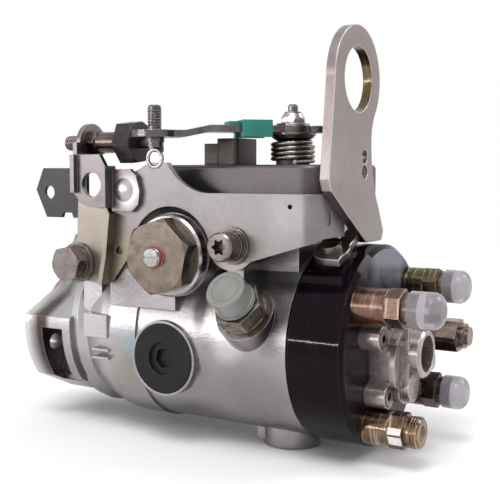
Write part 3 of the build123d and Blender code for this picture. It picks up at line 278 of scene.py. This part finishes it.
# zinc plated steel sheet, pressed and bent: pale and even, going yellow-brown in patches
zincSheet = metalFinish("zincPlatedSheet", {
    "light": "8a8687", "dark": "7d797a", "dirtAndShade": "5e585a", "edge": "d8d5d6", "blotch": 16.0,
    "rough": (0.36, 0.48), "grain": 1.8, "relief": 0.03, "dirtAndShadeShare": 0.45, "dirtSize": 2.5,
    "scratchShare": 0.05, "dirtStart": -0.38, "cut": 0.003,
    "stainsAndPaintedLight": [
        ((97, -48, 38), (34, 34, 34), "7b7370", 0.7),
        ((66, -48, 38), (26, 26, 26), "827a69", 0.9),
        ((112, -48, 31), (18, 18, 18), "645a50", 0.8),
        ((136, -48, 42), (16, 16, 16), "a19a8c", 0.6),
        ((160, -48, 62), (14, 14, 14), "9d9997", 0.4),
    ],
})

# zinc plated sheet whose passivation went yellow: olive-tinged grey
yellowedZinc = metalFinish("yellowedZincSheet", {
    "light": "938c82", "dark": "817a6f", "dirtAndShade": "5a5142", "edge": "d2cdc5", "blotch": 12.0,
    "rough": (0.3, 0.42), "grain": 1.2, "relief": 0.02, "dirtAndShadeShare": 0.55, "scratchShare": 0.08,
})

# hot rolled strip, bent and left plain: mid grey with a faint violet tinge
plainStrip = metalFinish("plainSteelStrip", {
    "light": "7e7879", "dark": "6a6465", "dirtAndShade": "453d3b", "edge": "cfcbca", "blotch": 11.0,
    "rough": (0.28, 0.4), "grain": 0.9, "relief": 0.02, "dirtAndShadeShare": 0.5, "scratchShare": 0.08,
    "stainsAndPaintedLight": [
        # painted highlight on the round lobe
        ((75, -52, 71), (9, 10, 10), "c6c3c4", 0.75),
    ],
})

# hardened lever steel, worn smooth by the cable: dark and shiny
leverSteel = metalFinish("polishedLeverSteel", {
    "light": "6d6768", "dark": "4f4a4b", "dirtAndShade": "352d2a", "edge": "c6c1bc", "blotch": 8.0,
    "rough": (0.2, 0.3), "grain": 0.8, "relief": 0.02,
})

# turned and milled steel with an oil film: grey-brown with faint tool lines
dullSteel = metalFinish("oiledMachinedSteel", {
    "light": "867d7a", "dark": "6c6461", "dirtAndShade": "332c2a", "edge": "bab4b1", "blotch": 9.0,
    "rough": (0.22, 0.36), "grain": 0.7, "relief": 0.025, "scratchShare": 0.12,
})

# phosphated nut steel of the advance cap: warm brown-grey
capSteel = metalFinish("phosphatedNutSteel", {
    "light": "7a6f66", "dark": "645950", "dirtAndShade": "3f3532", "edge": "c6bfba", "blotch": 5.0,
    "rough": (0.26, 0.4), "grain": 0.7, "relief": 0.025, "dirtSize": 4.0, "scratchShare": 0.06,
    "dirtAndShadeShare": 0.9,
})

# bright turned steel: nearly white highlights and fine circles from the tool
brightSteel = metalFinish("brightTurnedSteel", {
    "light": "b9b7b6", "dark": "979492", "dirtAndShade": "655c54", "edge": "f1f0ee", "blotch": 6.0,
    "rough": (0.18, 0.3), "grain": 0.6, "relief": 0.02,
})

# steel with a thin copper flash: warm orange-brown that wears to grey, in rings from the turning
copperSteel = metalFinish("copperFlashedSteel", {
    "light": "866b5d", "dark": "4a3931", "dirtAndShade": "2a1c16", "edge": "e6d5cb", "blotch": 6.0,
    "rough": (0.2, 0.32), "grain": 0.6, "relief": 0.02, "lie": (1, 0.05, 0.05), "scratchShare": 0.3,
    "lineWidth": 0.9,
    "stainsAndPaintedLight": [
        ((192, -34, 15), (14, 10, 7), "9a5b3d", 0.7),
        ((204.5, -31, 23), (5, 14, 14), "473a31", 0.9),
    ],
})

# chromated steel nut, tan and olive in patches
tanSteel = metalFinish("chromatedNutSteel", {
    "light": "8d8578", "dark": "65594b", "dirtAndShade": "352b24", "edge": "dcd6c8", "blotch": 4.0,
    "rough": (0.22, 0.36), "grain": 0.6, "relief": 0.02,
    "stainsAndPaintedLight": [
        ((147, -46, 14), (8, 8, 8), "8a5f4b", 0.85),
    ],
})

# olive chromate over zinc: yellow-green sheen going brown
oliveSteel = metalFinish("oliveChromatedSteel", {
    "light": "746a50", "dark": "463c2e", "dirtAndShade": "241d17", "edge": "c4bda6", "blotch": 5.0,
    "rough": (0.12, 0.24), "grain": 0.6, "relief": 0.02, "lie": (1, 0.05, 0.05), "scratchShare": 0.5,
    "lineWidth": 0.9,
})

# phosphated steel: dark brown with a soft shine
brownSteel = metalFinish("phosphatedSteel", {
    "light": "6c5d59", "dark": "4a3e3b", "dirtAndShade": "2a211d", "edge": "a4968d", "blotch": 5.0,
    "rough": (0.18, 0.32), "grain": 0.6, "relief": 0.03,
})

# the same coat rubbed thin by a spanner: paler, with grey steel in it
wornPhosphate = metalFinish("wornPhosphatedSteel", {
    "light": "8f7f7a", "dark": "66574f", "dirtAndShade": "2e2520", "edge": "b5a8a0", "blotch": 5.0,
    "rough": (0.18, 0.32), "grain": 0.6, "relief": 0.03,
})

# gold chromate over zinc, darkened by oil: brassy lights on brown
goldSteel = metalFinish("goldChromatedSteel", {
    "light": "88705a", "dark": "4c3c2e", "dirtAndShade": "261d16", "edge": "e2d2bd", "blotch": 5.0,
    "rough": (0.12, 0.24), "grain": 0.6, "relief": 0.02, "lie": (1, 0.05, 0.05), "scratchShare": 0.55,
    "lineWidth": 0.9,
})

# die cast zinc alloy, never polished: dark grey-brown with a soft satin shine
greyCasting = metalFinish("dieCastZinc", {
    "light": "aca19f", "dark": "8b8281", "dirtAndShade": "3a3131", "edge": "d6d0d0", "blotch": 9.0,
    "rough": (0.2, 0.32), "grain": 0.8, "relief": 0.04, "edgeSize": 0.7, "edgeShare": 0.8, "metallic": 0.8,
})

# hot rolled steel plate painted dark grey, worn thin: flat and dull, with pale edges
darkPlate = metalFinish("greyPaintedSteel", {
    "light": "282626", "dark": "1b1919", "dirtAndShade": "1b1817", "edge": "8a8580", "blotch": 5.0,
    "rough": (0.34, 0.48), "grain": 0.8, "relief": 0.03, "metallic": 0.15, "scratchShare": 0.08,
})

# cast block under brown-black enamel: dark, with a low satin shine
brownEnamel = metalFinish("brownEnamelOnIron", {
    "light": "453937", "dark": "302725", "dirtAndShade": "1d1716", "edge": "857a76", "blotch": 8.0,
    "rough": (0.3, 0.42), "grain": 0.8, "relief": 0.03, "metallic": 0.4,
})

# blackened steel nut: charcoal with a satin shine and pale corners
blackOxide = metalFinish("blackOxidedSteel", {
    "light": "383334", "dark": "242021", "dirtAndShade": "0f0d0d", "edge": "6d6766", "blotch": 5.0,
    "rough": (0.24, 0.36), "grain": 0.6, "relief": 0.03, "metallic": 0.5,
})

# tempered spring wire with oil on it: grey-brown, each coil with a bright line
springSteel = metalFinish("temperedSpringWire", {
    "light": "948d89", "dark": "69625d", "dirtAndShade": "332c28", "edge": "d6d1cc", "blotch": 4.0,
    "rough": (0.2, 0.32), "grain": 0.6, "relief": 0.02,
})

# cold rolled plate of the lifting eye: rosy grey steel with long faint scratches
eyePlate = metalFinish("coldRolledPlate", {
    "light": "9b9091", "dark": "8d8281", "dirtAndShade": "544a4a", "edge": "f4f0ef", "blotch": 24.0,
    "rough": (0.3, 0.4), "grain": 0.9, "relief": 0.015, "lie": (1, 1, 0.05), "dirtSize": 7.0,
    "dirtAndShadeShare": 0.4, "scratchShare": 0.1, "edgeShare": 0.75, "edgeSize": 0.8,
    "stainsAndPaintedLight": [
        ((176, -16, 126), (8, 30, 26), "877c78", 0.7),
        ((174, -44, 85), (16, 16, 16), "a39a98", 0.6),
        ((174, -36, 50), (18, 18, 18), "a29a8e", 0.5),
    ],
})

# moulded nitrile rubber: blue-black with a low sheen
moulded = metalFinish("mouldedRubber", {
    "light": "131317", "dark": "0c0c10", "dirtAndShade": "0a0a0d", "edge": "4a4c55", "blotch": 6.0,
    "rough": (0.36, 0.5), "grain": 0.5, "relief": 0.02, "metallic": 0.0, "scratchShare": 0.15, "shine": 0.2,
})

# injection moulded nylon clip: flat teal green
greenNylon = metalFinish("mouldedGreenNylon", {
    "light": "1b7d73", "dark": "15665e", "dirtAndShade": "0f3f3b", "edge": "52b3a7", "blotch": 6.0,
    "rough": (0.36, 0.5), "grain": 0.6, "relief": 0.02, "metallic": 0.0, "scratchShare": 0.1,
})

# sealing paint dabbed on by hand: dull red with thin places
redPaint = metalFinish("redSealingPaint", {
    "light": "a13a33", "dark": "7d2a26", "dirtAndShade": "4c2320", "edge": "bb5a50", "blotch": 1.6,
    "rough": (0.4, 0.55), "grain": 0.5, "relief": 0.06, "metallic": 0.0, "scratchShare": 0.1,
})

# white marking paint on a nut: chalky and a little uneven
whitePaint = metalFinish("whiteMarkingPaint", {
    "light": "e6e2e0", "dark": "cfc9c6", "dirtAndShade": "8c8179", "edge": "f0eeec", "blotch": 2.5,
    "rough": (0.45, 0.6), "grain": 0.6, "relief": 0.05, "metallic": 0.0, "scratchShare": 0.1,
})


def softCap(name, s):
    # blown polythene cap: milky and half clear, with faint rings from the mould and a soft shine
    material, tree, shader = newMaterial(name)
    here = addNode(tree, "ShaderNodeTexCoord").outputs["Object"]
    haze = addNode(tree, "ShaderNodeTexNoise", {"Scale": 1000 / s["haze"], "Detail": 3.0}, {"Vector": here})
    tone = addNode(tree, "ShaderNodeMix",
                   {"data_type": "RGBA", 6: hexToLinear(s["dark"]), 7: hexToLinear(s["light"])},
                   {0: haze.outputs["Fac"]})
    roughness = addNode(tree, "ShaderNodeMapRange", span(*usualFinish["patches"], *s["rough"]),
                        {"Value": haze.outputs["Fac"]})
    waveRate = 20       # radians per metre that the wave texture has at a scale of 1
    rings = addNode(tree, "ShaderNodeTexWave",
                    {"wave_type": "BANDS", "bands_direction": "X", "Scale": 1000 / s["ring"] / waveRate,
                     "Distortion": 1.0, "Detail": 1.0}, {"Vector": here})
    relief = addNode(tree, "ShaderNodeBump", {"Distance": s["relief"] / 1000},
                     {"Height": rings.outputs["Fac"]})
    tree.links.new(tone.outputs[2], shader.inputs["Base Color"])
    tree.links.new(roughness.outputs[0], shader.inputs["Roughness"])
    tree.links.new(relief.outputs[0], shader.inputs["Normal"])
    shader.inputs["IOR"].default_value = s["index"]
    shader.inputs["Transmission Weight"].default_value = s["clear"]
    return material


# "ring" is the spacing of the mould's rings in millimetres, over 2 pi
whiteCap = softCap("milkyPolythene", {
    "light": "c9c5c9", "dark": "a5a0a5", "haze": 5.0, "rough": (0.12, 0.22), "clear": 0.72, "ring": 1.6,
    "relief": 0.06, "index": 1.35})
greenCap = softCap("yellowedPolythene", {
    "light": "aaaca8", "dark": "868984", "haze": 6.0, "rough": (0.1, 0.18), "clear": 0.4, "ring": 2.0,
    "relief": 0.06, "index": 1.35})
print("materials made")

finishes = {        # bright turned steel for every node that isn't named
    "housing": castAluminium, "governor_cover": shadedCoverCasting, "hydraulic_head": blackEnamel,
    "outlet_1": copperSteel, "outlet_2": oliveSteel, "outlet_3": brownSteel, "outlet_4": goldSteel,
    "outlet_caps": whiteCap, "leak_off_cap": greenCap, "leak_off_union": tanSteel, "advance_cap": capSteel,
    "end_plate": greyCasting, "end_plug": wornPhosphate, "timing_plug": moulded, "drive_seal": moulded,
    "cover_block": brownEnamel, "lever_clip": greenNylon, "lifting_eye": eyePlate,
    "side_bracket": zincSheet, "control_bracket": zincSheet, "cable_bracket": yellowedZinc,
    "cable_plate": darkPlate, "stop_bracket": plainStrip, "stop_locknut": blackOxide,
    "stop_screw": brownSteel, "stop_collar": brownSteel,
    "throttle_lever": leverSteel, "spool_washer": leverSteel, "lever_stud": leverSteel,
    "advance_spring": springSteel, "governor_spring": springSteel, "return_spring": springSteel,
}
for name in ("case_screws", "weight_cage", "governor_arm", "throttle_shaft", "bracket_bolt", "washers",
             "cap_screw", "weight_1", "weight_2", "weight_3", "weight_4"):
    finishes[name] = dullSteel


def dressNode(name, node):
    node.data.materials.clear()
    node.data.materials.append(finishes.get(name, brightSteel))
    for polygon in node.data.polygons:
        polygon.use_smooth = True


for name, node in nodes.items():
    dressNode(name, node)


faceSettings = {
    "eye": (-16.1, 122.7),      # centre of the lifting eye, across and up, in millimetres
    "eyeReach": 16.5,
    "eyeWall": 0.7,             # the wall's normal leans less than this along the shaft
    "headEnd": 184.5,           # the head's end face lies beyond this, and its normal leans more
    "headLean": 0.9,
}


def dressFaces(name, material, chosen):
    # a second finish on the faces of a node that pass the test
    node = nodes[name]
    node.data.materials.append(material)
    for face in node.data.polygons:
        if chosen(face.center * 1000, face.normal, faceSettings):
            face.material_index = 1


def onEyeWall(at, facing, s):
    return math.hypot(at.y - s["eye"][0], at.z - s["eye"][1]) < s["eyeReach"] and abs(facing.x) < s["eyeWall"]


def onHeadEnd(at, facing, s):
    return at.x > s["headEnd"] and facing.x > s["headLean"]


dressFaces("lifting_eye", oliveSteel, onEyeWall)        # the wall keeps the yellow film of its old plating
# the head's end face takes a lighter copy of the enamel, with its painted reflection
dressFaces("hydraulic_head", enamelEnd, onHeadEnd)
print("nodes dressed")

lightSettings = {
    "below": 0.3,           # brightness of the surroundings towards the ground, and overhead
    "above": 0.8,
    "horizon": (-0.3, 0.7),             # heights between which the one passes into the other
    "key": (40.0, 1.1, 1.1, (0.4, -1.3, 2.2)),          # watts, width, height, place
    "fill": (9.0, 0.8, 0.5, (-1.35, -1.6, 0.35)),
    "rim": (20.0, 1.0, 1.0, (1.6, 1.2, 1.6)),
    "strip": (3.4, 0.5, 0.024, (-0.65, -1.85, 0.2)),    # draws a narrow bright line on the painted head
    "tint": "fffcfe",       # a trace of mauve, as under a cool lamp
    "target": (0.1, 0.0, 0.03),
}


def makeLights(s):
    for name in ("key", "fill", "rim", "strip"):
        power, width, height, spot = s[name]
        data = bpy.data.lights.new(name + "Panel", "AREA")
        data.energy = power
        data.color = hexToLinear(s["tint"])[:3]
        data.shape = "RECTANGLE"
        data.size = width
        data.size_y = height
        lamp = bpy.data.objects.new(name + "Panel", data)
        bpy.context.scene.collection.objects.link(lamp)
        lamp.location = spot
        lamp.rotation_euler = (Vector(s["target"]) - Vector(spot)).to_track_quat("-Z", "Y").to_euler()


def makeWorld(s):
    # a pale room: brighter overhead than near the ground, and white where it is seen straight
    world = bpy.data.worlds.new("studio")
    bpy.context.scene.world = world
    world.use_nodes = True
    tree = world.node_tree
    tree.nodes.clear()
    path = addNode(tree, "ShaderNodeLightPath")
    straight = addNode(tree, "ShaderNodeMath", {"operation": "ADD", "use_clamp": True},
                       {0: path.outputs["Is Camera Ray"], 1: path.outputs["Is Transmission Ray"]})
    shown = addNode(tree, "ShaderNodeMath", {"operation": "ADD", "use_clamp": True},
                    {0: straight.outputs[0], 1: path.outputs["Is Glossy Ray"]})
    direction = addNode(tree, "ShaderNodeTexCoord").outputs["Generated"]
    towards = addNode(tree, "ShaderNodeSeparateXYZ", {}, {0: direction})
    room = addNode(tree, "ShaderNodeMapRange", span(*s["horizon"], s["below"], s["above"]),
                   {"Value": towards.outputs["Z"]})
    strength = addNode(tree, "ShaderNodeMix", {3: 1.0}, {0: shown.outputs[0], 2: room.outputs[0]})
    background = addNode(tree, "ShaderNodeBackground", {"Color": (1, 1, 1, 1)},
                         {"Strength": strength.outputs[0]})
    addNode(tree, "ShaderNodeOutputWorld", {}, {"Surface": background.outputs[0]})


floorSettings = {           # metres
    "tone": 0.88,
    "rough": 0.95,
    "middle": (0.1, 0),     # below the middle of the pump
    "gap": 0.0005,          # between the pump's lowest point and the floor
    "near": 0.14,           # where the paper starts to fade into the background, and where it has done so
    "far": 0.55,
    "radius": 6.0,
    "segments": 96,
}


def palePaper(s):
    # matt white paper, which fades into the background away from the pump
    material, tree, shader = newMaterial("palePaper")
    shader.inputs["Base Color"].default_value = (s["tone"], s["tone"], s["tone"], 1)
    shader.inputs["Roughness"].default_value = s["rough"]
    here = addNode(tree, "ShaderNodeTexCoord").outputs["Object"]
    away = addNode(tree, "ShaderNodeVectorMath", {"operation": "DISTANCE", 1: (*s["middle"], cadBox[0][2])},
                   {0: here})
    faded = addNode(tree, "ShaderNodeMapRange", span(s["near"], s["far"], 0, 1),
                    {"Value": away.outputs["Value"]})
    path = addNode(tree, "ShaderNodeLightPath")
    straight = addNode(tree, "ShaderNodeMath", {"operation": "ADD", "use_clamp": True},
                       {0: path.outputs["Is Camera Ray"], 1: path.outputs["Is Transmission Ray"]})
    shown = addNode(tree, "ShaderNodeMath", {"operation": "ADD", "use_clamp": True},
                    {0: straight.outputs[0], 1: path.outputs["Is Glossy Ray"]})
    share = addNode(tree, "ShaderNodeMath", {"operation": "MULTIPLY"},
                    {0: shown.outputs[0], 1: faded.outputs[0]})
    glow = addNode(tree, "ShaderNodeEmission", {"Strength": 1.0})
    mixed = addNode(tree, "ShaderNodeMixShader", {},
                    {0: share.outputs[0], 1: shader.outputs[0], 2: glow.outputs[0]})
    tree.links.new(mixed.outputs[0], tree.nodes["Material Output"].inputs["Surface"])
    return material


def makeFloor(s):
    mesh = bpy.data.meshes.new("studioFloor")
    shape = bmesh.new()
    bmesh.ops.create_circle(shape, cap_ends=True, segments=s["segments"], radius=s["radius"])
    bmesh.ops.translate(shape, verts=shape.verts, vec=(*s["middle"], cadBox[0][2] - s["gap"]))
    shape.to_mesh(mesh)
    shape.free()
    floor = bpy.data.objects.new("studioFloor", mesh)
    bpy.context.scene.collection.objects.link(floor)
    mesh.materials.append(palePaper(s))


def newPiece(name, shape, material, body, smooth=False):
    # a mesh of its own that moves with one body of the pump
    bmesh.ops.recalc_face_normals(shape, faces=shape.faces)
    mesh = bpy.data.meshes.new(name)
    shape.to_mesh(mesh)
    shape.free()
    mesh.materials.append(material)
    for face in mesh.polygons:
        face.use_smooth = smooth
    piece = bpy.data.objects.new(name, mesh)
    bpy.context.scene.collection.objects.link(piece)
    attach(piece, body)


def skinRings(shape, rings, closed):
    # a tube of quads through rings that all have the same number of corners
    pairs = zip(rings[-1:] + rings[:-1], rings) if closed else zip(rings, rings[1:])
    for first, second in pairs:
        for a in range(len(first)):
            shape.faces.new((first[a], first[a - 1], second[a - 1], second[a]))


threadSettings = {      # millimetres: where the thread starts, its axis, length, radius of the core
    "studThread": ((96.0, -58.0, 101.0), "Z", 9.8, 3.0, "throttle", leverSteel),
    "stopScrewThread": ((31.6, -44.0, 95.5), "X", 12.2, 3.5, "pump", dullSteel),
    "outletThread": ((206.9, -18.714, -33.76), "X", 4.6, 7.0, "pump", goldSteel),
    "adjusterThread": ((97.0, -63.1, 42.0), "Y", 2.9, 4.0, "pump", brightSteel),
}
ridgeSettings = {
    "pitch": 1.25,      # coarser than the real 1.0, so that it shows
    "steps": 28,        # in one turn
    "runOut": 3,        # it takes a turn divided by this for the ridge to rise, and to fall away
    "outline": ((-0.42, -0.15), (-0.07, 0.3), (0.07, 0.3), (0.42, -0.15)),     # along in pitches, and height
}


def makeThread(name, thread, s):
    # a screw thread as one closed ridge wound round the core
    start, way, length, core, body, material = thread
    rounds = (length - s["pitch"]) / s["pitch"]
    shape = bmesh.new()
    rings = []
    for step in range(int(rounds * s["steps"]) + 1):
        turn = step / s["steps"]
        angle = turn * math.tau
        fade = min(1.0, turn * s["runOut"], (rounds - turn) * s["runOut"])
        ring = []
        for along, height in s["outline"]:
            far = (core + (height * fade if height > 0 else height)) / 1000
            down = (turn + 0.5 + along) * s["pitch"] / 1000
            spot = {"X": (down, far * math.cos(angle), far * math.sin(angle)),
                    "Y": (far * math.sin(angle), down, far * math.cos(angle)),
                    "Z": (far * math.cos(angle), far * math.sin(angle), down)}[way]
            ring.append(shape.verts.new([a / 1000 + b for a, b in zip(start, spot)]))
        rings.append(ring)
    skinRings(shape, rings, False)
    shape.faces.new(rings[0])
    shape.faces.new(rings[-1])
    newPiece(name, shape, material, body)


sealSettings = {            # millimetres
    "centre": (97.0, -60.0, 42.0),
    "inner": 3.9,
    "outer": 5.3,
    "height": 0.5,
    "ragged": 0.5,
    "waves": ((0.6, 3, 1), (0.4, 7, 0)),        # share, number round the ring, and shift of its ragged rim
    "outline": ((0.0, -0.05), (0.0, 1.0), (0.45, 0.8), (0.8, 0.45), (1.0, -0.05)),     # outwards, and up
    "steps": 72,
}


def makeSeal(s):
    # paint dabbed round the adjuster's screw, so that a turned screw shows
    shape = bmesh.new()
    rings = []
    for step in range(s["steps"]):
        angle = step / s["steps"] * math.tau
        wavy = sum(share * math.sin(number * angle + shift) for share, number, shift in s["waves"])
        spread = s["outer"] + s["ragged"] * wavy
        ring = []
        for share, height in s["outline"]:
            far = s["inner"] + (spread - s["inner"]) * share
            ring.append(shape.verts.new(((s["centre"][0] + far * math.cos(angle)) / 1000,
                                         (s["centre"][1] - s["height"] * height) / 1000,
                                         (s["centre"][2] + far * math.sin(angle)) / 1000)))
        rings.append(ring)
    skinRings(shape, rings, True)
    newPiece("sealingPaint", shape, redPaint, "pump", smooth=True)


markSettings = {            # millimetres
    "axis": (-18.714, -33.76),      # of the nut, across and up
    "corner": 8.66,         # from the axis to a corner of the nut
    "from": 198.5,
    "to": 204.7,
    "low": -0.72,           # how far the paint reaches over the faces beside the corner, in widths of a face
    "high": 0.35,
    "thick": 0.06,
}


def makeMark(s):
    # a dab of white paint over one corner of the nut, which shows that it was tightened
    shape = bmesh.new()
    rows = []
    for share in (s["low"], 0.0, s["high"]):
        side = math.radians(180 - 60 * (1 if share > 0 else -1))        # the next corner of the hexagon
        corner = (s["axis"][0] - s["corner"], s["axis"][1])
        other = (s["axis"][0] + s["corner"] * math.cos(side), s["axis"][1] + s["corner"] * math.sin(side))
        y = corner[0] + (other[0] - corner[0]) * abs(share)
        z = corner[1] + (other[1] - corner[1]) * abs(share)
        out = Vector((y - s["axis"][0], z - s["axis"][1])).normalized()
        row = []
        for lift in (-s["thick"], s["thick"]):
            for x in (s["from"], s["to"]):
                row.append(shape.verts.new((x / 1000, (y + out.x * lift) / 1000, (z + out.y * lift) / 1000)))
        rows.append(row)
    for first, second in zip(rows, rows[1:]):
        for a, b in ((0, 1), (1, 3), (3, 2), (2, 0)):
            shape.faces.new((first[a], first[b], second[b], second[a]))
    for row in (rows[0], rows[-1]):
        shape.faces.new((row[0], row[1], row[3], row[2]))
    newPiece("paintMark", shape, whitePaint, "pump")


beadSettings = {            # millimetres
    "centre": (137.0, -54.004, 23.357),     # of the cap's open end
    "slant": 38.0,          # degrees that the cap's axis rises
    "beads": ((0.7, 9.15, 0.55), (2.3, 9.15, 0.45), (11.5, 6.4, 0.4)),      # along, radius, thickness
    "steps": 72,
    "sides": 10,
}


def makeBeads(s):
    # the mould's beads round the foot of the soft cap, and the ring on its crown
    lean = math.radians(s["slant"])
    along = Vector((0, -math.cos(lean), math.sin(lean)))
    across = Vector((1, 0, 0))
    up = along.cross(across)
    for number, (far, radius, thick) in enumerate(s["beads"]):
        shape = bmesh.new()
        rings = []
        for step in range(s["steps"]):
            angle = step / s["steps"] * math.tau
            out = across * math.cos(angle) + up * math.sin(angle)
            ring = []
            for part in range(s["sides"]):
                turn = part / s["sides"] * math.tau
                spot = Vector(s["centre"]) + along * (far + thick * math.sin(turn))
                ring.append(shape.verts.new((spot + out * (radius + thick * math.cos(turn))) / 1000))
            rings.append(ring)
        skinRings(shape, rings, True)
        newPiece("capBead" + str(number + 1), shape, greenCap, "leak_cap", smooth=True)


for name, thread in threadSettings.items():
    makeThread(name, thread, ridgeSettings)
makeSeal(sealSettings)
makeMark(markSettings)
makeBeads(beadSettings)
print("threads, beads and paint added")

makeLights(lightSettings)
makeWorld(lightSettings)
makeFloor(floorSettings)
bpy.context.scene.view_settings.view_transform = "Standard"
print("light and floor set")
